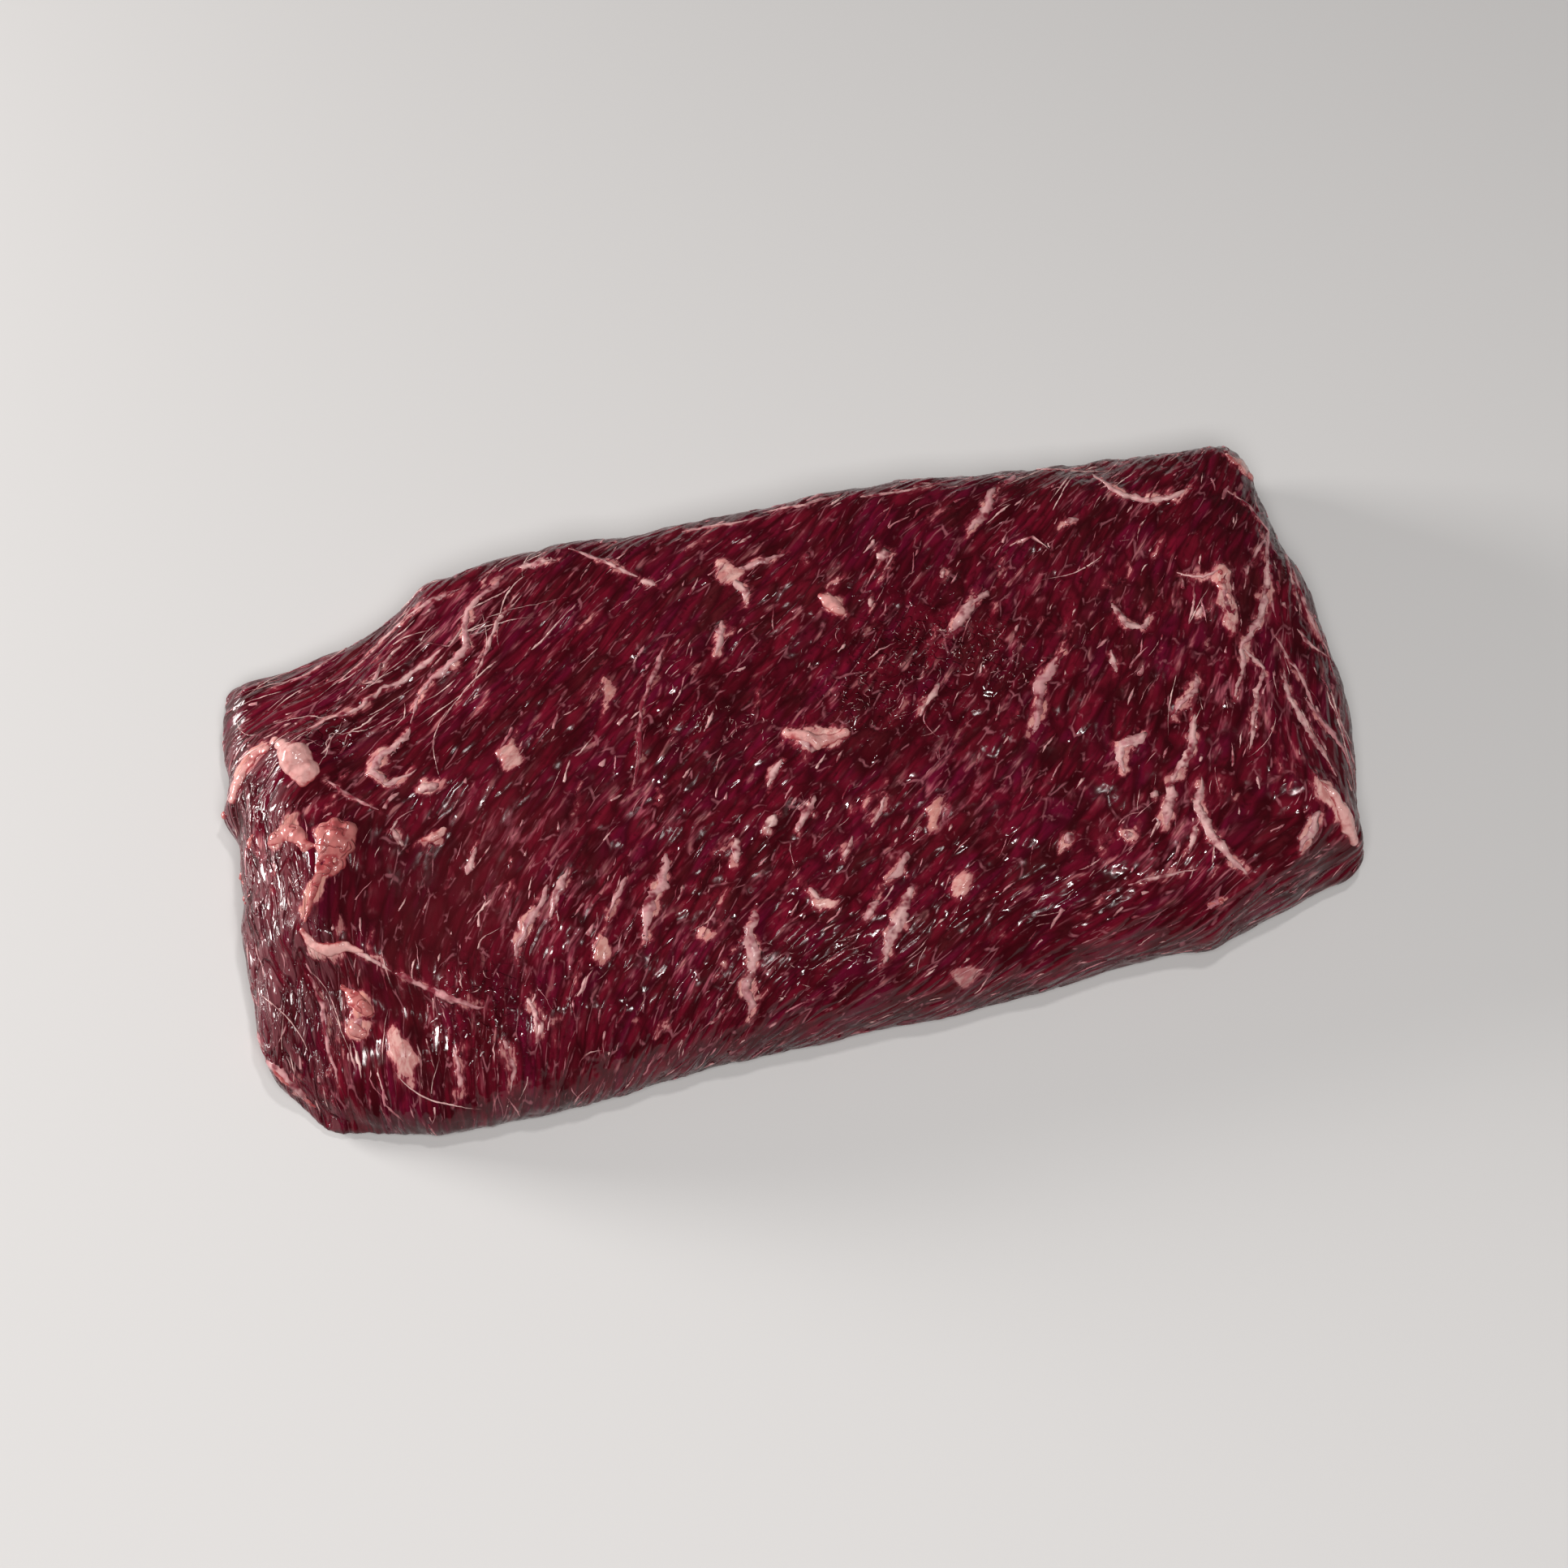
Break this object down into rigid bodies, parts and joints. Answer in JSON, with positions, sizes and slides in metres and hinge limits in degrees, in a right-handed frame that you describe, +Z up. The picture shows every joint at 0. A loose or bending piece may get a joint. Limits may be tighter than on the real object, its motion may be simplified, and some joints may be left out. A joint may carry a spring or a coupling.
{
  "type": "flank steak",
  "caption": "Raw flank steak, a thick flat slab of coarse-grained beef with rounded shoulders, a folded front corner and seams of fat.",
  "frame": {"origin": "middle of the underside, at the height that the steak rests on", "axes": "+X along the slab from its thick rounded end to its fat-capped cut end, +Y across the slab away from its folded front corner, +Z up"},
  "size_m": [0.2904, 0.156, 0.0307],
  "materials": {
    "raw_beef": "wet raw beef, deep burgundy with cream-pink fat and a moist gloss"
  },
  "bodies": {
    "root": {"flank_steak": "raw_beef"}
  },
  "joints": []
}
